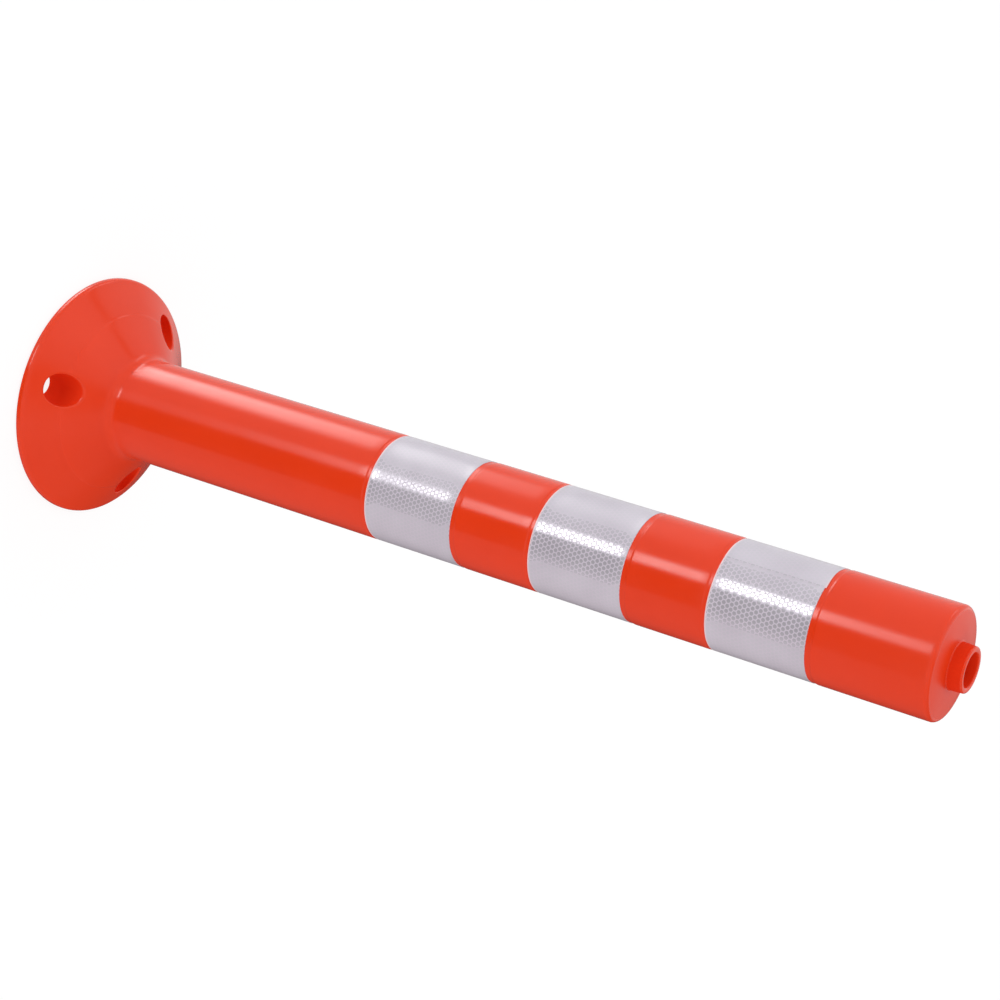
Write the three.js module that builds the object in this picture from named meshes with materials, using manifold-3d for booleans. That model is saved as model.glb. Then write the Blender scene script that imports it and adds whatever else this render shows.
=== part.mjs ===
// Flexible delineator post: a conical foot for three ground anchors, a hollow post that bends near its root,
// three lapped reflective bands in shallow seats, and a rounded head with an open spigot.
// Millimetres, +Z up, origin at the centre of the foot's underside. The first anchor sleeve faces -Y.
import * as THREE from "three";
import { mergeVertices } from "three/addons/utils/BufferGeometryUtils.js";
import Module from "manifold-3d";

const wasm = await Module();
wasm.setup();

const HEIGHT = 750;
const TUBE_R = 40.3;
const WALL = 4;
const SEGMENTS = 72;
const JOINT_GAP = 0.3;
const ORANGE = 0xe8452a;
const SILVER = 0xd6d3da;

// Foot: a flat-bottomed cone with a rounded rim.
const FOOT = {
  radius: 95.6,
  edgeRound: 1.8,
  rimHeight: 3.6,
  rimRound: 4.4,
  coneAngle: 36.1,
  coneTopRadius: 45,
  filletTop: 51,
  skin: 5,
  undersideRim: 7,
};

// Anchor sleeves through the foot, and the webs between them.
const SLEEVES = {
  count: 3,
  pitchRadius: 71.4,
  boreRadius: 12.6,
  footBoreRadius: 9.2,
  taperHeight: 14,
  wall: 5,
  length: 60,
};
const WEBS = { perSleeve: 3, thickness: 4, inner: 38, outer: 91, length: 60 };

// Heights where one working length of the moulding meets the next.
const FLEX_START = 52;
const FLEX_MIDDLE = 150;
const FLEX_END = 202;
const HEAD_START = 700;

// Reflective bands, each in a seat a little longer than itself.
const BANDS = {
  names: ["reflective_band_lower", "reflective_band_middle", "reflective_band_upper"],
  lapAngles: [100, 60, -140],
  bottom: 292,
  pitch: 141.2,
  width: 75.8,
  thickness: 0.45,
  seatDepth: 0.6,
  seatMargin: 3.8,
  lapWidth: 14,
  lapRise: 0.4,
};

// Head: the shoulder's rounding, its low dome, and the spigot.
const HEAD = {
  shoulderRound: 3.5,
  shoulderTop: 737.2,
  domeTop: 739.2,
  rootFillet: 2,
  spigotRadius: 16.6,
  spigotBore: 12,
  lipRound: 1.3,
};

/** Points of a circular arc in the profile plane, from one angle to another in degrees. */
function arc(r, z, radius, from, to, steps) {
  return Array.from({ length: steps + 1 }, (_, i) => {
    const angle = THREE.MathUtils.degToRad(from + ((to - from) * i) / steps);
    return [r + radius * Math.cos(angle), z + radius * Math.sin(angle)];
  });
}

function toSolid(geometry) {
  const bare = geometry.clone();
  bare.deleteAttribute("normal");
  bare.deleteAttribute("uv");
  const merged = mergeVertices(bare, 1e-4);
  return new wasm.Manifold(
    new wasm.Mesh({
      numProp: 3,
      vertProperties: merged.attributes.position.array,
      triVerts: new Uint32Array(merged.index.array),
    }),
  );
}

function toGeometry(solid) {
  const mesh = solid.getMesh();
  const geometry = new THREE.BufferGeometry();
  geometry.setAttribute("position", new THREE.BufferAttribute(mesh.vertProperties, 3));
  geometry.setIndex(new THREE.BufferAttribute(mesh.triVerts, 1));
  geometry.computeVertexNormals();
  return geometry;
}

/** Solid of revolution about Z from an outline of [radius, height] pairs, listed anticlockwise. */
function revolve(outline) {
  const points = [...outline, outline[0]].map(([r, z]) => new THREE.Vector2(Math.max(r, 0), z));
  return toSolid(new THREE.LatheGeometry(points, SEGMENTS).rotateX(Math.PI / 2));
}

function ring(inner, outer, bottom, top) {
  return revolve([[inner, bottom], [outer, bottom], [outer, top], [inner, top]]);
}

function rod(radius, length, x, y) {
  const geometry = new THREE.CylinderGeometry(radius, radius, length, 32).rotateX(Math.PI / 2);
  return toSolid(geometry.translate(x, y, length / 2));
}

/** The rim's rounding, from its upright side to where it meets the cone. */
function rimArc() {
  const centre = FOOT.radius - FOOT.rimRound;
  return arc(centre, FOOT.rimHeight, FOOT.rimRound, 0, 90 - FOOT.coneAngle, 4);
}

/** Height of the cone's outer face at a radius. */
function coneHeight(radius) {
  const [rimRadius, rimTop] = rimArc().at(-1);
  return rimTop + (rimRadius - radius) * Math.tan(THREE.MathUtils.degToRad(FOOT.coneAngle));
}

/** Outer outline of the foot from the underside up to the start of the flexing length. */
function footOutline() {
  const coneTop = coneHeight(FOOT.coneTopRadius);
  const filletRise = FOOT.filletTop - coneTop;
  return [
    ...arc(FOOT.radius - FOOT.edgeRound, FOOT.edgeRound, FOOT.edgeRound, -90, 0, 3),
    ...rimArc(),
    [FOOT.coneTopRadius, coneTop],
    [TUBE_R + (FOOT.coneTopRadius - TUBE_R) / 2, coneTop + filletRise * 0.3],
    [TUBE_R + (FOOT.coneTopRadius - TUBE_R) / 7, coneTop + filletRise * 0.65],
    [TUBE_R, FOOT.filletTop],
  ];
}

/** Underside hollow: follows the cone at the skin's thickness and leaves a flat rim to stand on. */
function footHollow() {
  const roofDrop = FOOT.skin / Math.cos(THREE.MathUtils.degToRad(FOOT.coneAngle));
  const roofAt = (radius) => coneHeight(radius) - roofDrop;
  const outer = FOOT.radius - FOOT.undersideRim;
  const inner = TUBE_R + 1;
  return revolve([[inner, -1], [outer, -1], [outer, roofAt(outer)], [inner, roofAt(inner)]]);
}

function sleevePositions() {
  return Array.from({ length: SLEEVES.count }, (_, i) => {
    const angle = THREE.MathUtils.degToRad(-90 + (360 / SLEEVES.count) * i);
    return [SLEEVES.pitchRadius * Math.cos(angle), SLEEVES.pitchRadius * Math.sin(angle)];
  });
}

/** Anchor bore: straight below the cone, narrowing smoothly towards the ground. */
function anchorBore([x, y]) {
  const s = SLEEVES;
  const narrowing = [0, 1, 2, 3].map((step) => {
    const height = (s.taperHeight * step) / 4;
    const closing = (s.boreRadius - s.footBoreRadius) * (1 - step / 4) ** 2;
    return [s.boreRadius - closing, height];
  });
  const outline = [
    [0, -1], [s.footBoreRadius, -1], ...narrowing,
    [s.boreRadius, s.taperHeight], [s.boreRadius, s.length], [0, s.length],
  ];
  return revolve(outline).translate([x, y, 0]);
}

/** Radial webs under the cone, evenly spaced, one of them on each sleeve. */
function webs() {
  const count = SLEEVES.count * WEBS.perSleeve;
  const length = WEBS.outer - WEBS.inner;
  return Array.from({ length: count }, (_, i) => {
    const web = new THREE.BoxGeometry(length, WEBS.thickness, WEBS.length);
    web.translate(WEBS.inner + length / 2, 0, WEBS.length / 2);
    web.rotateZ(THREE.MathUtils.degToRad(-90 + (360 / count) * i));
    return toSolid(web);
  });
}

function baseFlange() {
  const outline = footOutline();
  const shell = revolve([[0, 0], ...outline, [TUBE_R, FLEX_START], [0, FLEX_START]]);
  const sleeves = sleevePositions().map(([x, y]) =>
    rod(SLEEVES.boreRadius + SLEEVES.wall, SLEEVES.length, x, y),
  );
  const inside = [...sleeves, ...webs()].reduce((sum, piece) => sum.add(piece));
  const core = ring(0, TUBE_R - WALL, -1, FLEX_START + 1);
  const bores = sleevePositions().map(anchorBore);
  const hollow = footHollow().subtract(inside);
  return [core, ...bores].reduce((sum, cut) => sum.subtract(cut), shell.subtract(hollow));
}

function tubeLength(bottom, top) {
  return ring(TUBE_R - WALL, TUBE_R, bottom + JOINT_GAP, top);
}

function bandBottoms() {
  return BANDS.names.map((_, i) => BANDS.bottom + BANDS.pitch * i);
}

/** Straight tube with a shallow seat under each band. */
function postTube() {
  const tube = tubeLength(FLEX_END, HEAD_START);
  return bandBottoms()
    .map((bottom) => ring(
      TUBE_R - BANDS.seatDepth, TUBE_R + 1,
      bottom - BANDS.seatMargin, bottom + BANDS.width + BANDS.seatMargin,
    ))
    .reduce((sum, cut) => sum.subtract(cut), tube);
}

/** Closed head: tube wall, rounded shoulder, low dome, and the open spigot. */
function postHead() {
  const h = HEAD;
  const inner = TUBE_R - WALL;
  const roundStart = h.shoulderTop - h.shoulderRound;
  return revolve([
    [inner, HEAD_START + JOINT_GAP],
    [TUBE_R, HEAD_START + JOINT_GAP],
    ...arc(TUBE_R - h.shoulderRound, roundStart, h.shoulderRound, 0, 90, 6),
    [h.spigotRadius + h.rootFillet + 1, h.domeTop],
    [h.spigotRadius + 0.7, h.domeTop + 0.5],
    [h.spigotRadius, h.domeTop + h.rootFillet],
    ...arc(h.spigotRadius - h.lipRound, HEIGHT - h.lipRound, h.lipRound, 0, 90, 3),
    ...arc(h.spigotBore + h.lipRound, HEIGHT - h.lipRound, h.lipRound, 90, 180, 3),
    [h.spigotBore, h.domeTop - WALL],
    [TUBE_R - WALL - h.shoulderRound, h.shoulderTop - WALL - 0.5],
    [inner, roundStart - 1],
  ]);
}

/** One wrapped band: a thin ring whose outer end laps over its inner end. */
function reflectiveBand(bottom, lapAngle) {
  const top = bottom + BANDS.width;
  const inner = TUBE_R - BANDS.seatDepth + 0.1;
  const outer = inner + BANDS.thickness;
  const halfLap = BANDS.lapWidth / TUBE_R / 2;
  const sector = new THREE.BoxGeometry(TUBE_R, 2 * TUBE_R * Math.tan(halfLap), HEIGHT);
  sector.translate(TUBE_R / 2 + 1, 0, HEIGHT / 2);
  sector.rotateZ(THREE.MathUtils.degToRad(lapAngle));
  const lap = ring(inner, outer + BANDS.lapRise, bottom, top).intersect(toSolid(sector));
  return ring(inner, outer, bottom, top).add(lap);
}

function plastic() {
  return new THREE.MeshStandardMaterial({ color: ORANGE, roughness: 0.35, metalness: 0 });
}

function sheeting() {
  return new THREE.MeshStandardMaterial({ color: SILVER, roughness: 0.3, metalness: 0.4 });
}

function named(name, solid, material) {
  const mesh = new THREE.Mesh(toGeometry(solid), material);
  mesh.name = name;
  return mesh;
}

const post = new THREE.Group();
post.name = "delineator_post";
post.add(named("base_flange", baseFlange(), plastic()));
post.add(named("flex_root", tubeLength(FLEX_START, FLEX_MIDDLE), plastic()));
post.add(named("flex_neck", tubeLength(FLEX_MIDDLE, FLEX_END), plastic()));
post.add(named("post_tube", postTube(), plastic()));
post.add(named("post_head", postHead(), plastic()));
bandBottoms().forEach((bottom, i) => {
  post.add(named(BANDS.names[i], reflectiveBand(bottom, BANDS.lapAngles[i]), sheeting()));
});

export default post;
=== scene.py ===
"""Looks of the flexible delineator post: moulded foot, hollow post and three wrapped reflective bands.

Shapes are made in millimetres in the part's own frame and scaled to metres as each mesh is finished.
"""
import math

import bmesh
import bpy
import numpy as np
from mathutils import Matrix, Vector
from mathutils.geometry import delaunay_2d_cdt


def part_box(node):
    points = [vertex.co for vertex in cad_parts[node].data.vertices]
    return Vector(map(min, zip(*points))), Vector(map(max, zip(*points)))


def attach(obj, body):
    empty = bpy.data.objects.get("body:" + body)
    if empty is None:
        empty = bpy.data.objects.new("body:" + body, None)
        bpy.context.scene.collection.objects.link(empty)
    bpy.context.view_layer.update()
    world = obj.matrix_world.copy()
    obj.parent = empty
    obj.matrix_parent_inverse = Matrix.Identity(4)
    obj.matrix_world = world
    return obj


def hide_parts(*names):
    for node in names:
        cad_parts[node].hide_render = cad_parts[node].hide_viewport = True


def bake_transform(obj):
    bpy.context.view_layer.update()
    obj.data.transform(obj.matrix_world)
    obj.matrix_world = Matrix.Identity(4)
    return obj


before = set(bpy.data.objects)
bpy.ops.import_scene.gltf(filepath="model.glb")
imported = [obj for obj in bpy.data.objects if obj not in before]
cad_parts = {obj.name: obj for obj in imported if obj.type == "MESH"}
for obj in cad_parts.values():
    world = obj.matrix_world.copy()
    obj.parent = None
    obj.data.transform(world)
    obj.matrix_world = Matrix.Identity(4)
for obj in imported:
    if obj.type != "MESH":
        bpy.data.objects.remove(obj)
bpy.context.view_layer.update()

MM = 0.001
AROUND = 144
OUTER_STEP, INNER_STEP, STRAIGHT_STEP = 2.0, 2.4, 8.0
SHARP_ANGLE = 35.0
MERGE = 1e-6
NEAR = 0.1

# Material slots of the two mouldings
# The last slot holds the bore material: a darker copy of the orange (painted shade) with a painted glow
SPECIAL, MATT_SHADE_AND_GLOW = 1, 2


def node_box(name):
    """Lowest and highest corner of a CAD node, in millimetres."""
    low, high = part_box(name)
    return low / MM, high / MM


FOOT_R = node_box("base_flange")[1].x
TUBE_R = node_box("post_tube")[1].x
HEIGHT = node_box("post_head")[1].z
FLEX_MIDDLE = node_box("flex_root")[1].z
FLEX_END = node_box("flex_neck")[1].z
BAND_NODES = ("reflective_band_lower", "reflective_band_middle", "reflective_band_upper")

# Foot profile
WALL = 4.0
EDGE_ROUND = 1.8
RIM_HEIGHT = 3.6
RIM_ROUND = 4.4
CONE_ANGLE = math.radians(36.1)
CONE_TOP_R = 45.0
FILLET_STEPS = 8
SKIN = 5.0
UNDERSIDE_RIM = 7.0
BORE_CHAMFER = 0.6
RIDGE_R = 71.0
RIDGE_WIDTH = 1.0
RIDGE_RISE = 0.3

# Anchor sleeves and webs
SLEEVE_PITCH_R = 71.4
SLEEVE_BORE_R = 12.6
SLEEVE_FOOT_R = 9.2
TAPER_HEIGHT = 14.0
SLEEVE_WALL = 5.0
SLEEVES = [(SLEEVE_PITCH_R * math.cos(math.radians(a)), SLEEVE_PITCH_R * math.sin(math.radians(a)))
           for a in (-90, 30, 150)]
SLEEVE_AROUND = 72
LIP_ROUND = 1.5
LIP_STEPS = 6
TAPER_STEPS = 7
MOUTH_MARGINS = (0.5, 1.4, 2.8)
MOUTH_CLEARANCE = 4.4
WEB_THICKNESS = 4.0
WEB_SPAN = (36.0, 96.0)
WEB_COUNT = 9
CUTTER_DEPTH = 3.0
CUTTER_TOP = 70.0

# Head
SHOULDER_ROUND = 3.5
SHOULDER_TOP = 737.2
DOME_TOP = 739.2
SPIGOT_R = 16.6
SPIGOT_BORE_R = 12.0
SPIGOT_ROOT = 0.8
SPIGOT_DRAFT = 0.45
SPIGOT_LIP_ROUND = 1.3
DOME_SHARES = (0.15, 0.4, 0.7, 0.92)

# Band seats and bands
SEAT_DEPTH = 0.35
SEAT_MARGIN = 3.8
SEAT_RAMP = 1.6
SHEET = 0.26
SHEET_GAP = 0.02
SHEET_TIP = 0.14
SEAL_WIDTH = 0.9
SEAL_RISE = 0.05
SEAL_ROUND = 0.3
LAP_SKEW = 1.0
LAP_RAMP, LAP, LAP_TIP = (math.radians(a) for a in (6, 19, 2))
UV_PER_MM = 0.01
CELL = 3.5
BAND_WIDTH = node_box(BAND_NODES[0])[1].z - node_box(BAND_NODES[0])[0].z
LAP_ANGLES = {
    "reflective_band_lower": 90.0,
    "reflective_band_middle": 50.0,
    "reflective_band_upper": -150.0,
}


# ---------------------------------------------------------------- mesh helpers

def arc(r, z, radius, start, end, steps):
    """Points of a circular arc in the profile plane, angles in degrees."""
    angles = np.radians(np.linspace(start, end, steps + 1))
    return [(r + radius * math.cos(a), z + radius * math.sin(a)) for a in angles]


def span(r0, z0, r1, z1, step):
    """Points of a straight run, both ends left out, no further apart than step."""
    count = max(1, math.ceil(math.hypot(r1 - r0, z1 - z0) / step))
    return [(r0 + (r1 - r0) * i / count, z0 + (z1 - z0) * i / count) for i in range(1, count)]


def ring_points(r, z, count=AROUND):
    angles = 2 * math.pi * np.arange(count) / count - math.pi / 2
    return [(r * math.cos(a), r * math.sin(a), z) for a in angles]


def circle_plan(points, edges, centre, radius, count, phase, keep=True):
    """Adds a circle to the plan of a flat net, its edges only where the net has to keep them."""
    first = len(points)
    for a in 2 * math.pi * np.arange(count) / count + phase:
        points.append(Vector((centre[0] + radius * math.cos(a), centre[1] + radius * math.sin(a))))
    if keep:
        edges.extend((first + i, first + (i + 1) % count) for i in range(count))


def add_lathe(bm, profile, closed):
    """Adds the surface turned by a profile of (radius, height) points, and returns its rings."""
    rings = [[bm.verts.new(p) for p in ring_points(r, z)] for r, z in profile]
    pairs = list(zip(rings, rings[1:] + rings[:1])) if closed else list(zip(rings, rings[1:]))
    for low, high in pairs:
        bridge(bm, low, high)
    return rings


def bridge(bm, low, high):
    count = len(low)
    for i in range(count):
        j = (i + 1) % count
        bm.faces.new((low[i], low[j], high[j], high[i]))


def sharpen(bm, sharp_angle):
    """Makes every face smooth and every edge sharper than the angle a hard one."""
    limit = math.radians(sharp_angle)
    for edge in bm.edges:
        edge.smooth = not (len(edge.link_faces) == 2 and edge.calc_face_angle(0.0) > limit)
    for face in bm.faces:
        face.smooth = True


def finish_mesh(name, bm, sharp_angle=SHARP_ANGLE):
    """Turns a bmesh in millimetres into an object in metres, smooth apart from its sharp edges."""
    bmesh.ops.remove_doubles(bm, verts=bm.verts, dist=1e-4)
    bmesh.ops.recalc_face_normals(bm, faces=bm.faces)
    sharpen(bm, sharp_angle)
    bmesh.ops.scale(bm, vec=(MM,) * 3, verts=bm.verts)
    mesh = bpy.data.meshes.new(name)
    bm.to_mesh(mesh)
    bm.free()
    piece = bpy.data.objects.new(name, mesh)
    bpy.context.scene.collection.objects.link(piece)
    return piece


# ---------------------------------------------------------------- foot and root

def rim_profile():
    centre = FOOT_R - RIM_ROUND
    return arc(centre, RIM_HEIGHT, RIM_ROUND, 0, 90 - math.degrees(CONE_ANGLE), 8)


RIM_END_R, RIM_END_Z = rim_profile()[-1]


def cone_height(radius):
    """Height of the cone's face, which steps up very slightly inside the ridge circle."""
    inside = min(max((RIDGE_R - radius) / RIDGE_WIDTH + 0.5, 0), 1)
    plain = RIM_END_Z + (RIM_END_R - radius) * math.tan(CONE_ANGLE)
    return plain + RIDGE_RISE * inside * inside * (3 - 2 * inside)


def clear_of_sleeves(point, distance):
    return all((point - Vector(centre)).length > distance for centre in SLEEVES)


def cone_skin(bm):
    """The cone's face as a fine net in plan, lifted to the cone, with the three sleeve mouths left open."""
    points, edges = [], []
    mouth = SLEEVE_BORE_R + LIP_ROUND
    for radius in (RIM_END_R, CONE_TOP_R):
        circle_plan(points, edges, (0, 0), radius, AROUND, -math.pi / 2)
    for centre in SLEEVES:
        circle_plan(points, edges, centre, mouth, SLEEVE_AROUND, 0)
        for margin in MOUTH_MARGINS:
            circle_plan(points, edges, centre, mouth + margin, SLEEVE_AROUND, 0, keep=False)
    radii = np.concatenate([
        np.linspace(CONE_TOP_R, RIDGE_R - RIDGE_WIDTH, 12)[1:],
        np.linspace(RIDGE_R - RIDGE_WIDTH / 2, RIDGE_R + RIDGE_WIDTH / 2, 6),
        np.linspace(RIDGE_R + RIDGE_WIDTH, RIM_END_R, 10)[:-1],
    ])
    for k, radius in enumerate(radii):
        for i in range(AROUND):
            a = 2 * math.pi * (i + 0.5 * (k % 2)) / AROUND - math.pi / 2
            p = Vector((radius * math.cos(a), radius * math.sin(a)))
            if clear_of_sleeves(p, mouth + MOUTH_CLEARANCE):
                points.append(p)
    found, _, triangles, *_ = delaunay_2d_cdt(points, edges, [], 0, MERGE)
    verts = [bm.verts.new((p.x, p.y, cone_height(p.length))) for p in found]
    inner_edge = CONE_TOP_R * math.cos(math.pi / AROUND)
    mouth_edge = mouth * math.cos(math.pi / SLEEVE_AROUND)
    for tri in triangles:
        middle = sum((found[i] for i in tri), Vector((0, 0))) / 3
        if middle.length > inner_edge and clear_of_sleeves(middle, mouth_edge):
            bm.faces.new([verts[i] for i in tri])
    bmesh.ops.delete(bm, geom=[v for v in verts if not v.link_faces], context="VERTS")


def sleeve_bore(bm, centre):
    """The rounded mouth, the straight bore and the narrowing lower end of one anchor sleeve."""
    def loop(radius, height):
        result = []
        for i in range(SLEEVE_AROUND):
            a = 2 * math.pi * i / SLEEVE_AROUND
            x, y = centre[0] + radius * math.cos(a), centre[1] + radius * math.sin(a)
            result.append(bm.verts.new((x, y, height(math.hypot(x, y)))))
        return result

    loops = []
    for turn in np.radians(np.linspace(0, 90, LIP_STEPS + 1)):
        radius = SLEEVE_BORE_R + LIP_ROUND * (1 - math.sin(turn))
        drop = LIP_ROUND * (1 - math.cos(turn))
        loops.append(loop(radius, lambda r, d=drop: cone_height(r) - d))
    for share in (0.7, 0.35):
        loops.append(loop(SLEEVE_BORE_R, lambda r, s=share: TAPER_HEIGHT * (1 - s)
                          + (cone_height(r) - LIP_ROUND) * s))
    for height in TAPER_HEIGHT * np.linspace(1, 0, TAPER_STEPS + 1):
        radius = SLEEVE_BORE_R - (SLEEVE_BORE_R - SLEEVE_FOOT_R) * (1 - height / TAPER_HEIGHT) ** 2
        loops.append(loop(radius, lambda r, z=height: min(z, cone_height(r) - LIP_ROUND - 0.05)))
    for high, low in zip(loops, loops[1:]):
        before = len(bm.faces)
        bridge(bm, high, low)
        bm.faces.ensure_lookup_table()
        # The faces below the lip take the bore material, darker by painted shade and lit by a painted glow
        for face in bm.faces[before:] if high in loops[LIP_STEPS:] else []:
            face.material_index = SPECIAL


def underside(bm):
    """The flat face the foot stands on, with the post's bore and the three sleeve ends open in it."""
    points, edges = [], []
    core = TUBE_R - WALL + BORE_CHAMFER
    for radius in (FOOT_R - EDGE_ROUND, core):
        circle_plan(points, edges, (0, 0), radius, AROUND, -math.pi / 2)
    for centre in SLEEVES:
        circle_plan(points, edges, centre, SLEEVE_FOOT_R, SLEEVE_AROUND, 0)
    found, _, triangles, *_ = delaunay_2d_cdt(points, edges, [], 0, MERGE)
    verts = [bm.verts.new((p.x, p.y, 0)) for p in found]
    core_edge = core * math.cos(math.pi / AROUND)
    sleeve_edge = SLEEVE_FOOT_R * math.cos(math.pi / SLEEVE_AROUND)
    for tri in triangles:
        middle = sum((found[i] for i in tri), Vector((0, 0))) / 3
        if middle.length >= core_edge and clear_of_sleeves(middle, sleeve_edge):
            bm.faces.new([verts[i] for i in tri])


def sleeve_block(name, centre):
    """An upright cylinder that keeps one sleeve's wall out of the hollow."""
    bm = bmesh.new()
    radius = SLEEVE_BORE_R + SLEEVE_WALL
    turns = 2 * math.pi * np.arange(SLEEVE_AROUND) / SLEEVE_AROUND
    low = [bm.verts.new((centre[0] + radius * math.cos(a), centre[1] + radius * math.sin(a), -CUTTER_DEPTH))
           for a in turns]
    high = [bm.verts.new((v.co.x, v.co.y, CUTTER_TOP)) for v in low]
    bridge(bm, low, high)
    bm.faces.new(low)
    bm.faces.new(high)
    return finish_mesh(name, bm)


def web_block(name, angle):
    """An upright slab that keeps one web out of the hollow."""
    bm = bmesh.new()
    bmesh.ops.create_cube(bm, size=1)
    near, far = WEB_SPAN
    bmesh.ops.scale(bm, vec=(far - near, WEB_THICKNESS, CUTTER_TOP), verts=bm.verts)
    bmesh.ops.translate(bm, vec=((near + far) / 2, 0, CUTTER_TOP / 2 - CUTTER_DEPTH), verts=bm.verts)
    bmesh.ops.rotate(bm, cent=(0, 0, 0), matrix=Matrix.Rotation(angle, 3, "Z"), verts=bm.verts)
    return finish_mesh(name, bm)


def cut(piece, cutters):
    """Cuts each cutter out of the piece and removes the cutters."""
    for cutter in cutters:
        step = piece.modifiers.new("cut", "BOOLEAN")
        step.operation, step.solver, step.object = "DIFFERENCE", "EXACT", cutter
    bpy.context.view_layer.update()
    made = bpy.data.meshes.new_from_object(piece.evaluated_get(bpy.context.evaluated_depsgraph_get()))
    piece.modifiers.clear()
    piece.data = made
    for cutter in cutters:
        bpy.data.objects.remove(cutter)


def underside_pockets():
    """The hollow under the cone, as one cutter with the sleeves and webs left standing."""
    roof_drop = SKIN / math.cos(CONE_ANGLE)
    outer, inner = FOOT_R - UNDERSIDE_RIM, TUBE_R + 1
    bm = bmesh.new()
    add_lathe(bm, [
        (inner, -1), (outer, -1),
        (outer, cone_height(outer) - roof_drop), (inner, cone_height(inner) - roof_drop),
    ], closed=True)
    pockets = finish_mesh("pockets", bm)
    standing = [sleeve_block(f"sleeve_{i}", centre) for i, centre in enumerate(SLEEVES)]
    step = 2 * math.pi / WEB_COUNT
    standing += [web_block(f"web_{i}", i * step - math.pi / 2) for i in range(WEB_COUNT)]
    cut(pockets, standing)
    return pockets


def make_foot_and_root(materials):
    """Foot, fillet and the lower flexing length, up to the middle of the flexing part."""
    bm = bmesh.new()
    cone_skin(bm)
    for centre in SLEEVES:
        sleeve_bore(bm, centre)
    underside(bm)
    foot_edge = arc(FOOT_R - EDGE_ROUND, EDGE_ROUND, EDGE_ROUND, -90, 0, 6)
    add_lathe(bm, [*foot_edge, *rim_profile()], closed=False)
    bend = math.pi / 2 - CONE_ANGLE
    fillet_r = (CONE_TOP_R - TUBE_R) / (1 - math.cos(bend))
    fillet = arc(TUBE_R + fillet_r, cone_height(CONE_TOP_R) + fillet_r * math.sin(bend),
                 fillet_r, 180 + math.degrees(bend), 180, FILLET_STEPS)
    fillet_top, bore = fillet[-1][1], TUBE_R - WALL
    outer_wall = [*span(TUBE_R, fillet_top, TUBE_R, FLEX_MIDDLE, OUTER_STEP), (TUBE_R, FLEX_MIDDLE)]
    inner_wall = [(bore, FLEX_MIDDLE), *span(bore, FLEX_MIDDLE, bore, 2, INNER_STEP)]
    chamfer = [(bore, BORE_CHAMFER), (bore + BORE_CHAMFER, 0)]
    add_lathe(bm, fillet + outer_wall + inner_wall + chamfer, closed=False)
    mark_inside(bm)
    piece = finish_mesh("foot_and_root_moulding", bm)
    for material in materials:
        piece.data.materials.append(material)
    cut(piece, [underside_pockets()])
    resharpen(piece)
    return piece


def mark_inside(bm):
    """Gives the faces inside the post and the spigot the bore's matt surface, with its painted shade and
    painted glow.
    """
    for face in bm.faces:
        reach = max(math.hypot(v.co.x, v.co.y) for v in face.verts)
        below_head = face.calc_center_median().z < DOME_TOP - WALL + NEAR
        in_post = reach < TUBE_R - WALL + BORE_CHAMFER + NEAR and below_head
        if in_post or reach < SPIGOT_BORE_R + 3 * NEAR:
            face.material_index = MATT_SHADE_AND_GLOW


def resharpen(piece):
    """Cleans a piece that has been cut, and sets its sharp edges again."""
    bm = bmesh.new()
    bm.from_mesh(piece.data)
    bmesh.ops.remove_doubles(bm, verts=bm.verts, dist=MERGE)
    bmesh.ops.dissolve_degenerate(bm, edges=bm.edges, dist=MERGE)
    sharpen(bm, SHARP_ANGLE)
    bm.to_mesh(piece.data)
    bm.free()


# ---------------------------------------------------------------- post and head

def seat_profile(low, high):
    """Going up the tube's outside: gently down into a band's seat and out again."""
    shares = np.linspace(0, 1, 7)
    drops = SEAT_DEPTH * shares * shares * (3 - 2 * shares)
    entry = [(TUBE_R - d, low - SEAT_RAMP * (1 - s)) for d, s in zip(drops, shares)]
    leave = [(TUBE_R - d, high + SEAT_RAMP * (1 - s)) for d, s in zip(drops, shares)][::-1]
    floor = TUBE_R - SEAT_DEPTH
    return entry + span(floor, low, floor, high, STRAIGHT_STEP) + leave


def head_profile():
    start = SHOULDER_TOP - SHOULDER_ROUND
    profile = [(TUBE_R, start - 1.5)]
    profile += arc(TUBE_R - SHOULDER_ROUND, start, SHOULDER_ROUND, 0, 84, 9)
    edge_r, edge_z = profile[-1]
    root_r = SPIGOT_R + SPIGOT_ROOT
    for share in DOME_SHARES:
        rise = (DOME_TOP - edge_z) * math.sin(share * math.pi / 2)
        profile.append((edge_r + (root_r + 0.4 - edge_r) * share, edge_z + rise))
    profile += arc(root_r, DOME_TOP + SPIGOT_ROOT, SPIGOT_ROOT, 270, 180, 6)
    lip = HEIGHT - SPIGOT_LIP_ROUND
    profile += [(SPIGOT_R - 0.02, DOME_TOP + SPIGOT_ROOT + 0.5), (SPIGOT_R - SPIGOT_DRAFT, lip - 0.4)]
    profile += arc(SPIGOT_R - SPIGOT_DRAFT - SPIGOT_LIP_ROUND, lip, SPIGOT_LIP_ROUND, 4, 90, 6)
    profile += arc(SPIGOT_BORE_R + SPIGOT_LIP_ROUND, lip, SPIGOT_LIP_ROUND, 90, 180, 6)
    profile += [(SPIGOT_BORE_R, lip - 0.4), (SPIGOT_BORE_R, DOME_TOP - WALL + 0.5)]
    profile += [(SPIGOT_BORE_R + 0.5, DOME_TOP - WALL)]
    bore = TUBE_R - WALL
    profile += [(bore - SHOULDER_ROUND, SHOULDER_TOP - WALL - 0.5), (bore, start - 1)]
    return profile


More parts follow.
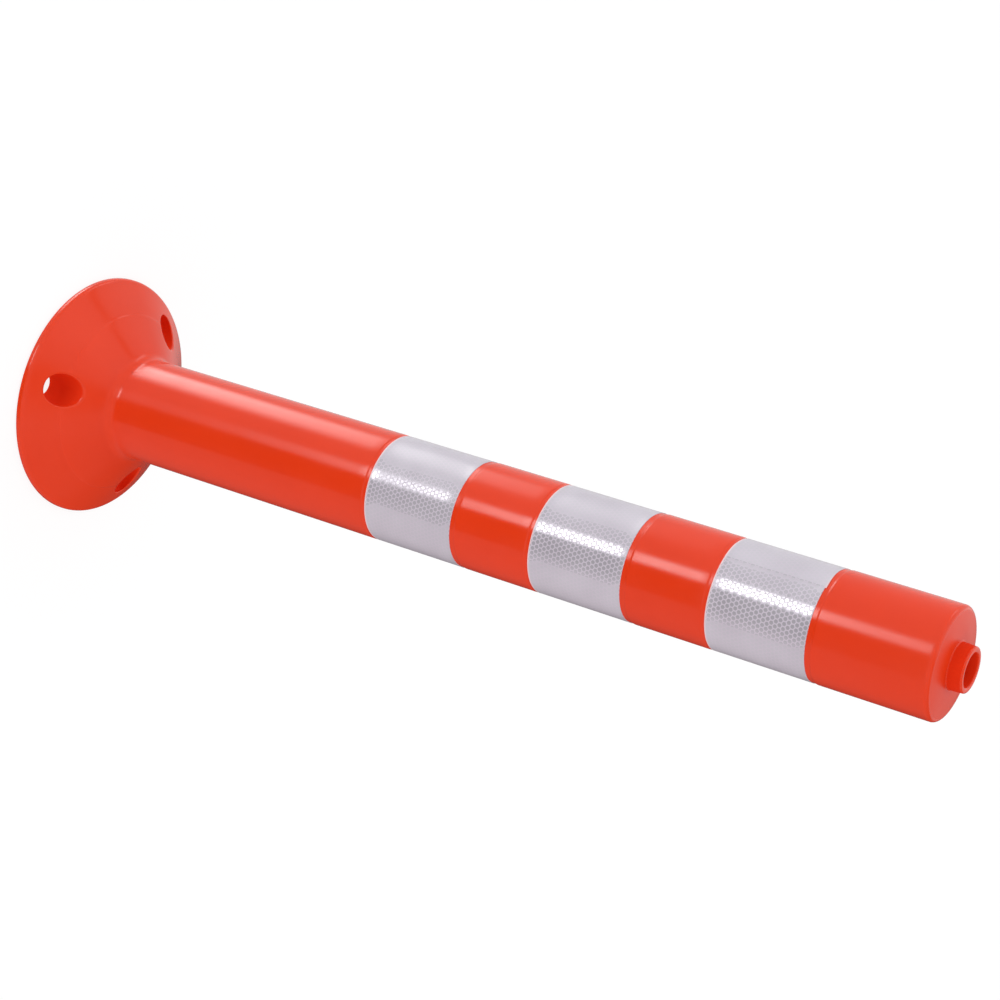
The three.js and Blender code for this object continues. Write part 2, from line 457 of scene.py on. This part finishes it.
def mark_head(bm):
    """Gives the end face its satin surface, and the spigot's side the matt one, which is darker by painted
    shade and carries a painted glow.
    """
    for face in bm.faces:
        middle = face.calc_center_median()
        if min(v.co.z for v in face.verts) > SHOULDER_TOP - NEAR and middle.z < DOME_TOP + NEAR:
            face.material_index = SPECIAL
        on_spigot = max(math.hypot(v.co.x, v.co.y) for v in face.verts) < SPIGOT_R + NEAR
        if on_spigot and DOME_TOP + SPIGOT_ROOT / 2 < middle.z < HEIGHT - SPIGOT_LIP_ROUND:
            face.material_index = MATT_SHADE_AND_GLOW


def make_post_and_head():
    """Upper flexing length, tube with its band seats, shoulder and spigot."""
    bm = bmesh.new()
    profile = [(TUBE_R, FLEX_MIDDLE), *span(TUBE_R, FLEX_MIDDLE, TUBE_R, FLEX_END, OUTER_STEP)]
    height = FLEX_END
    for name in BAND_NODES:
        low, high = node_box(name)
        start, end = low.z - SEAT_MARGIN + SEAT_RAMP, high.z + SEAT_MARGIN - SEAT_RAMP
        profile += [(TUBE_R, height), *span(TUBE_R, height, TUBE_R, start - SEAT_RAMP, STRAIGHT_STEP)]
        profile += seat_profile(start, end)
        height = end + SEAT_RAMP + 1
    shoulder_start = SHOULDER_TOP - SHOULDER_ROUND
    profile += [(TUBE_R, height), *span(TUBE_R, height, TUBE_R, shoulder_start - 1.5, STRAIGHT_STEP)]
    profile += head_profile()
    bore = TUBE_R - WALL
    profile += [*span(bore, shoulder_start - 1, bore, FLEX_END, 30), (bore, FLEX_END)]
    profile += [*span(bore, FLEX_END, bore, FLEX_MIDDLE, INNER_STEP), (bore, FLEX_MIDDLE)]
    add_lathe(bm, profile, closed=True)
    mark_inside(bm)
    mark_head(bm)
    return finish_mesh("post_and_head_moulding", bm)


# ---------------------------------------------------------------- reflective bands

def smooth_step(value):
    value = min(max(value, 0.0), 1.0)
    return value * value * (3 - 2 * value)


def band_section(inner, outer, low, high):
    """Outline of the sheet across its width, with the heat-sealed edges a hair proud."""
    face = outer - SEAL_RISE
    edge = [(inner, low), (face, low), (outer, low + SEAL_RISE), (outer, low + SEAL_WIDTH - SEAL_ROUND)]
    edge += [(face, low + SEAL_WIDTH)]
    count = 10
    middle = [(face, low + SEAL_WIDTH + (high - low - 2 * SEAL_WIDTH) * i / count) for i in range(1, count)]
    return edge + middle + [(r, low + high - z) for r, z in reversed(edge)]


def make_band(name):
    """A strip of sheeting wrapped once round the seat, its outer end lapped over its inner end."""
    low, high = node_box(name)
    seat = TUBE_R - SEAT_DEPTH + SHEET_GAP
    full = 2 * math.pi
    start = math.radians(LAP_ANGLES[name])
    turns = np.concatenate([
        np.linspace(0, full - LAP_RAMP, 150), np.linspace(full - LAP_RAMP, full, 7)[1:],
        np.linspace(full, full + LAP, 14)[1:], np.linspace(full + LAP, full + LAP + LAP_TIP, 5)[1:],
    ])
    bm = bmesh.new()
    uv = bm.loops.layers.uv.new("sheet")
    columns = []
    for t in turns:
        lift = (SHEET + SHEET_GAP) * smooth_step((t - full + LAP_RAMP) / LAP_RAMP)
        thin = SHEET_TIP * smooth_step((t - full - LAP) / LAP_TIP)
        skew = LAP_SKEW * max(0.0, t - full + LAP_RAMP) / (LAP + LAP_RAMP)
        section = band_section(seat + lift, seat + lift + SHEET - thin, low.z, high.z - LAP_SKEW + skew)
        columns.append([(t, z - low.z, bm.verts.new((r * math.cos(start + t), r * math.sin(start + t), z)))
                        for r, z in section])

    def add_face(corners):
        face = bm.faces.new([c[2] for c in corners])
        for loop, c in zip(face.loops, corners):
            loop[uv].uv = (c[0] * TUBE_R * UV_PER_MM, c[1] * UV_PER_MM)

    for left, right in zip(columns, columns[1:]):
        for i in range(len(left)):
            j = (i + 1) % len(left)
            add_face((left[i], right[i], right[j], left[j]))
    add_face(columns[0])
    add_face(columns[-1])
    return finish_mesh(name + "_sheeting", bm, 50)


# ---------------------------------------------------------------- materials

class Nodes:
    """Small helper round the node tree of a material or of the world."""

    def __init__(self, tree):
        self.tree = tree

    def add(self, kind, settings=None, **inputs):
        node = self.tree.nodes.new(kind)
        for key, value in (settings or {}).items():
            setattr(node, key, value)
        for key, value in inputs.items():
            self.feed(node.inputs[int(key[1:]) if key[0] == "i" and key[1:].isdigit() else key], value)
        return node

    def feed(self, socket, value):
        if isinstance(value, bpy.types.NodeSocket):
            self.tree.links.new(value, socket)
        else:
            socket.default_value = value

    def math(self, operation, a, b=0.0, clamp=False):
        settings = {"operation": operation, "use_clamp": clamp}
        return self.add("ShaderNodeMath", settings, i0=a, i1=b).outputs[0]

    def times(self, a, b):
        return self.math("MULTIPLY", a, b)

    def plus(self, a, b):
        return self.math("ADD", a, b)

    def minus(self, a, b):
        return self.math("SUBTRACT", a, b)

    def ramp(self, value, low, high, to_low=0.0, to_high=1.0):
        node = self.add("ShaderNodeMapRange", {"interpolation_type": "SMOOTHSTEP"}, Value=value)
        for key, number in (("From Min", low), ("From Max", high), ("To Min", to_low), ("To Max", to_high)):
            node.inputs[key].default_value = number
        return node.outputs[0]

    def mix(self, factor, a, b):
        node = self.add("ShaderNodeMix", {"data_type": "RGBA"}, Factor=factor)
        self.feed(node.inputs[6], a)
        self.feed(node.inputs[7], b)
        return node.outputs[2]

    def noise(self, vector, scale, detail=3.0, rough=0.5):
        node = self.add("ShaderNodeTexNoise", None, Scale=scale, Detail=detail, Roughness=rough)
        self.feed(node.inputs["Vector"], vector)
        return node.outputs[0]


class Surface(Nodes):
    """A new material with its one shader."""

    def __init__(self, name):
        self.material = bpy.data.materials.new(name)
        self.material.use_nodes = True
        super().__init__(self.material.node_tree)
        self.shader = self.tree.nodes["Principled BSDF"]
        self.place = self.add("ShaderNodeTexCoord").outputs["Object"]

    def set(self, **values):
        for key, value in values.items():
            self.feed(self.shader.inputs[key.replace("_", " ")], value)

    def set_bump(self, strength, distance, height):
        bump = self.add("ShaderNodeBump", None, Strength=strength, Distance=distance, Height=height)
        self.set(Normal=bump.outputs[0])


ORANGE = ((0.785, 0.0410, 0.0056, 1), (0.815, 0.0445, 0.0068, 1))
# Painted shade: a darker copy of the orange for the bores and the spigot's side
BORE_PAINTED_SHADE_ORANGE = ((0.66, 0.028, 0.005, 1), (0.72, 0.036, 0.007, 1))
# Painted glow: an emission that lights the bores and the spigot's side as if light soaked through the
# plastic
BORE_PAINTED_GLOW_COLOUR = (0.80, 0.016, 0.002, 1)
BORE_PAINTED_GLOW = 0.10
CELL_SILVER = ((0.545, 0.515, 0.575, 1), (0.59, 0.56, 0.62, 1))
BORDER_SILVER = ((0.585, 0.53, 0.605, 1), (0.62, 0.57, 0.645, 1))
SEAL_COLOUR = (0.84, 0.64, 0.66, 1)


def orange_plastic(name, smoothest):
    """Glossy moulded plastic: faint cloudiness, fine orange peel, and a little unevenness in its gloss."""
    n = Surface(name)
    clouds = n.noise(n.place, 14.0, 4.0)
    specks = n.noise(n.place, 900.0, 2.0)
    worn = n.ramp(n.noise(n.place, 60.0), 0.25, 0.75, smoothest, smoothest + 0.05)
    n.set(
        Base_Color=n.mix(n.ramp(clouds, 0.3, 0.7), *ORANGE),
        Roughness=n.plus(worn, n.ramp(specks, 0.3, 0.7, 0.0, 0.02)),
        IOR=1.47,
    )
    peel = n.plus(n.noise(n.place, 320.0, 2.0), n.times(n.noise(n.place, 45.0, 2.0), 0.8))
    n.set_bump(0.03, 0.0006, peel)
    return n.material


def bore_plastic(name):
    """The same plastic inside its bores and on the spigot's side: matt from the core pin, darker by painted
    shade, and brightened by a painted glow that stands in for light soaking through.
    """
    n = Surface(name)
    clouds = n.noise(n.place, 90.0, 4.0)
    # The darker base colour is painted shade, and the emission is a painted glow
    n.set(
        Base_Color=n.mix(clouds, *BORE_PAINTED_SHADE_ORANGE),
        Roughness=n.ramp(clouds, 0.3, 0.7, 0.55, 0.7),
        Specular_IOR_Level=0.04,
        Emission_Color=BORE_PAINTED_GLOW_COLOUR,
        Emission_Strength=BORE_PAINTED_GLOW,
    )
    n.set_bump(0.1, 0.0004, n.noise(n.place, 500.0))
    return n.material


def hexagons(n, uv):
    """How near a point is to its honeycomb cell's border, 0 at the centre and 1 at the border."""
    scale = n.add("ShaderNodeVectorMath", {"operation": "SCALE"}, Vector=uv, Scale=1 / (CELL * UV_PER_MM))
    split = n.add("ShaderNodeSeparateXYZ", None, Vector=scale.outputs[0])
    tall = math.sqrt(3)
    x, y = split.outputs[0], n.math("DIVIDE", split.outputs[1], tall)

    def from_centre(value, shift):
        return n.minus(n.math("FRACT", n.plus(value, shift)), 0.5)

    def cell(shift):
        across = n.math("ABSOLUTE", from_centre(x, shift))
        along = n.math("ABSOLUTE", n.times(from_centre(y, shift), tall))
        slant = n.plus(n.times(across, 0.5), n.times(along, tall / 2))
        return n.math("MAXIMUM", across, slant)

    return n.math("MULTIPLY", n.math("MINIMUM", cell(0.0), cell(0.5)), 2.0, clamp=True)


def sealed_edge(n, uv):
    """1 on the strips along the band's two edges where the film is sealed down, 0 between them."""
    across = n.add("ShaderNodeSeparateXYZ", None, Vector=uv).outputs[1]
    half, soft = BAND_WIDTH / 2, 0.15
    from_middle = n.math("ABSOLUTE", n.minus(across, half * UV_PER_MM))
    start = half - SEAL_WIDTH
    return n.ramp(from_middle, (start - soft) * UV_PER_MM, (start + soft) * UV_PER_MM)


def sheeting(name):
    """Clear-faced prismatic sheeting: mirror cells in pale borders, glossiest where it faces the eye."""
    n = Surface(name)
    uv = n.add("ShaderNodeUVMap", {"uv_map": "sheet"}).outputs[0]
    seal = sealed_edge(n, uv)
    border = n.math("MAXIMUM", n.ramp(hexagons(n, uv), 0.58, 0.95), seal)
    facing = n.add("ShaderNodeLayerWeight", None, Blend=0.5).outputs["Facing"]
    dull = n.math("MAXIMUM", border, n.ramp(facing, 0.05, 0.30, 0.0, 0.85))
    drift = n.ramp(n.noise(n.place, 30.0), 0.3, 0.7)
    sheet = n.mix(border, n.mix(drift, *CELL_SILVER), n.mix(drift, *BORDER_SILVER))
    n.set(
        Base_Color=n.mix(seal, sheet, SEAL_COLOUR),
        Metallic=n.ramp(dull, 0.0, 1.0, 0.36, 0.0),
        Roughness=n.ramp(dull, 0.0, 1.0, 0.11, 0.36),
        Coat_Weight=0.45,
        Coat_Roughness=0.12,
        Coat_IOR=1.45,
    )
    n.set_bump(0.12, 0.0003, n.plus(n.times(border, 0.2), n.times(n.noise(n.place, 90.0, 2.0), 0.3)))
    return n.material


# ---------------------------------------------------------------- stage

CAMERA_AZIMUTH = math.radians(-94.404)
CAMERA_REACH = 1.49748
CAMERA_HEIGHT = 1.19616
CAMERA_HEADING = math.radians(86.16)
CAMERA_PITCH = math.radians(-28.6217)
CAMERA_ROLL = math.radians(107.2937)
CAMERA_LENS = 84.625


def make_camera():
    """A long lens from above, rolled so that the upright post lies across the picture."""
    data = bpy.data.cameras.new("camera")
    data.lens, data.sensor_width = CAMERA_LENS, 36
    data.clip_start, data.clip_end = 0.1, 100
    camera = bpy.data.objects.new("camera", data)
    bpy.context.scene.collection.objects.link(camera)
    forward = Vector((
        math.cos(CAMERA_PITCH) * math.cos(CAMERA_HEADING),
        math.cos(CAMERA_PITCH) * math.sin(CAMERA_HEADING),
        math.sin(CAMERA_PITCH),
    ))
    level = forward.cross(Vector((0, 0, 1))).normalized()
    over = level.cross(forward)
    right = level * math.cos(CAMERA_ROLL) + over * math.sin(CAMERA_ROLL)
    up = over * math.cos(CAMERA_ROLL) - level * math.sin(CAMERA_ROLL)
    turn = Matrix((right, up, -forward)).transposed().to_4x4()
    place = Vector((
        CAMERA_REACH * math.cos(CAMERA_AZIMUTH), CAMERA_REACH * math.sin(CAMERA_AZIMUTH), CAMERA_HEIGHT,
    ))
    camera.matrix_world = Matrix.Translation(place) @ turn
    bpy.context.scene.camera = camera


FLOOR_RADIUS = 40
FLOOR_DROP = 0.0004
FLOOR_GLOW = 0.86
FLOOR_GREY = 0.16


def floor_material():
    """Nearly white whatever the light, with a trace of shading, and clear from below."""
    material = bpy.data.materials.new("floor")
    material.use_nodes = True
    n = Nodes(material.node_tree)
    n.tree.nodes.clear()
    glow = n.add("ShaderNodeEmission", None, Strength=FLOOR_GLOW)
    matt = n.add("ShaderNodeBsdfDiffuse", None, Color=(FLOOR_GREY, FLOOR_GREY, FLOOR_GREY, 1))
    both = n.add("ShaderNodeAddShader", None, i0=glow.outputs[0], i1=matt.outputs[0])
    clear = n.add("ShaderNodeBsdfTransparent")
    below = n.add("ShaderNodeNewGeometry").outputs["Backfacing"]
    choose = n.add("ShaderNodeMixShader", None, i0=below, i1=both.outputs[0], i2=clear.outputs[0])
    n.add("ShaderNodeOutputMaterial", None, Surface=choose.outputs[0])
    return material


def make_floor():
    """A pale floor that is bright enough to read as white and keeps out of the post's reflections."""
    bm = bmesh.new()
    bmesh.ops.create_circle(bm, cap_ends=True, radius=FLOOR_RADIUS, segments=64)
    mesh = bpy.data.meshes.new("floor")
    bm.to_mesh(mesh)
    bm.free()
    mesh.materials.append(floor_material())
    floor = bpy.data.objects.new("floor", mesh)
    floor.location.z = -FLOOR_DROP
    bpy.context.scene.collection.objects.link(floor)
    floor.visible_glossy = False
    floor.visible_diffuse = False
    floor.visible_shadow = False


# Patches of the studio's surround, in degrees: bearing and height, each from, to and softness.
GAP = ((-6, 46, 6, 2), (-60, -18, 8, 5))
ZENITH = ((-25, 60, 15, 20), (64, 95, 4, 1))
STRIP = ((-108.5, -103, 1.5, 1.5), (25, 60, 4, 4))
GLINT = ((-118, -92, 6, 6), (6, 19, 4, 4))
BROAD_BEARING = (-107, -70, 10, 12)
NARROW_BEARING = (-24, -6, 5, 4)
LIFT_BEARING = (-150, -60, 10, 15)
BEHIND_HEIGHT = (6, 60, 6, 10)


class Sky(Nodes):
    """Brightness of the surround by height, and by bearing from the camera's side.

    A negative bearing is on the side that lies uppermost in the picture.
    """

    def __init__(self, tree):
        super().__init__(tree)
        self.direction = self.add("ShaderNodeTexCoord").outputs["Generated"]
        self.upward = self.along(CAMERA_AZIMUTH - math.pi / 2)
        toward = self.along(CAMERA_AZIMUTH)
        self.bearing = self.math("ARCTAN2", self.times(self.upward, -1.0), toward)
        self.height = self.math("ARCSINE", self.dot((0, 0, 1)))

    def dot(self, axis):
        settings = {"operation": "DOT_PRODUCT"}
        return self.add("ShaderNodeVectorMath", settings, i0=self.direction, i1=axis).outputs["Value"]

    def along(self, turn):
        return self.dot((math.cos(turn), math.sin(turn), 0))

    def window(self, value, low, high, soft_low, soft_high):
        a = self.ramp(value, math.radians(low - soft_low), math.radians(low + soft_low))
        b = self.ramp(value, math.radians(high - soft_high), math.radians(high + soft_high), 1.0, 0.0)
        return self.times(a, b)

    def patch(self, bearings, heights):
        return self.times(self.window(self.bearing, *bearings), self.window(self.height, *heights))

    def step(self, value, low, high, amount):
        """Rises smoothly from nothing at one angle to the amount at the other."""
        return self.times(self.ramp(value, math.radians(low), math.radians(high)), amount)

    def surround(self):
        """The plain surround, which darkens past the camera's lower side, with its darker patches."""
        base = self.minus(0.66, self.step(self.bearing, -25, 5, 0.22))
        base = self.minus(base, self.step(self.bearing, 75, 150, 0.27))
        base = self.minus(base, self.minus(0.49, self.step(self.bearing, -180, -162, 0.49)))
        base = self.minus(base, self.step(self.bearing, 125, 155, 0.09))
        dark = self.plus(self.times(self.patch(*GAP), 0.85), self.times(self.patch(*ZENITH), 0.5))
        dark = self.plus(dark, self.times(self.patch(*STRIP), 0.8))
        return self.times(base, self.minus(1.0, dark))

    def broad_light(self):
        """One wide soft light on the upper side, below eye level."""
        rise = self.times(self.step(self.height, -23, -44, 7.0), self.step(self.height, -43, -38.5, 1.0))
        return self.times(self.window(self.bearing, *BROAD_BEARING), rise)

    def narrow_light(self):
        """One tall narrow light, brightest low down."""
        rise = self.minus(self.step(self.height, -36, -24.5, 6.5), self.step(self.height, -21, -19, 4.2))
        rise = self.minus(rise, self.step(self.height, -17.5, -12, 1.9))
        rise = self.minus(rise, self.step(self.height, 5, 30, 0.4))
        return self.times(self.window(self.bearing, *NARROW_BEARING), rise)

    def small_lights(self):
        """A pale wall behind the post, a small glint for the rim, and a slight lift above it."""
        behind = self.step(self.math("ABSOLUTE", self.bearing), 150, 165, 0.5)
        behind = self.times(behind, self.window(self.height, *BEHIND_HEIGHT))
        glint = self.times(self.patch(*GLINT), 1.3)
        lift = self.times(self.window(self.bearing, *LIFT_BEARING), self.step(self.height, 10, 25, 0.17))
        return self.plus(behind, self.plus(glint, lift))


def make_world():
    """The studio's surround, seen by the post only; the camera sees plain white."""
    world = bpy.data.worlds.new("studio")
    bpy.context.scene.world = world
    world.use_nodes = True
    sky = Sky(world.node_tree)
    background = sky.tree.nodes["Background"]
    lights = sky.plus(sky.broad_light(), sky.narrow_light())
    total = sky.plus(sky.plus(sky.surround(), sky.small_lights()), lights)
    warm = sky.mix(sky.ramp(sky.upward, -0.9, 0.2), (1.0, 0.86, 0.88, 1), (1.0, 1.0, 1.0, 1))
    tinted = sky.add("ShaderNodeVectorMath", {"operation": "SCALE"}, Vector=warm, Scale=total)
    seen = sky.add("ShaderNodeLightPath").outputs["Is Camera Ray"]
    sky.feed(background.inputs["Color"], sky.mix(seen, tinted.outputs[0], (1, 1, 1, 1)))
    background.inputs["Strength"].default_value = 1.0
    world.cycles.sampling_method = "MANUAL"
    world.cycles.sample_map_resolution = 1024


FILL_SIZE = math.radians(120)
FILLS = {
    "fill_low_side": (75, 10, 0.46),
    "fill_front": (0, 40, 0.15),
    "fill_top_side": (-95, 15, 0.14),
    "fill_back": (180, 30, 0.18),
}


def make_fill(name, bearing, height, strength):
    """A very wide soft light that brightens the plastic without showing in its gloss."""
    data = bpy.data.lights.new(name, "SUN")
    data.energy = strength * math.pi
    data.angle = FILL_SIZE
    sun = bpy.data.objects.new(name, data)
    turn, lift = CAMERA_AZIMUTH + math.radians(bearing), math.radians(height)
    away = Vector((math.cos(turn) * math.cos(lift), math.sin(turn) * math.cos(lift), math.sin(lift)))
    sun.rotation_euler = away.to_track_quat("Z", "Y").to_euler()
    sun.visible_glossy = False
    bpy.context.scene.collection.objects.link(sun)


# ---------------------------------------------------------------- assembly

make_camera()
make_floor()
make_world()
for fill, placing in FILLS.items():
    make_fill(fill, *placing)
scene = bpy.context.scene
scene.view_settings.view_transform = "Standard"
scene.view_settings.look = "None"

plastic = orange_plastic("safety_orange_plastic", 0.13)
shoulder = orange_plastic("satin_orange_shoulder", 0.32)
# The bore materials are darker copies of the orange, painted shade, with a painted glow
bore = bore_plastic("matt_anchor_bore_painted_shade_and_glow")
inside = bore_plastic("matt_inside_painted_shade_and_glow")
foot = make_foot_and_root((plastic, bore, inside))
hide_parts("base_flange", "flex_root")
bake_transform(foot)

post = make_post_and_head()
for material in (plastic, shoulder, inside):
    post.data.materials.append(material)
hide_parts("flex_neck", "post_tube", "post_head")
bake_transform(post)

silver = sheeting("silver_prismatic_sheeting")
for band_node in BAND_NODES:
    band = make_band(band_node)
    band.data.materials.append(silver)
    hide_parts(band_node)
    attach(band, "post")
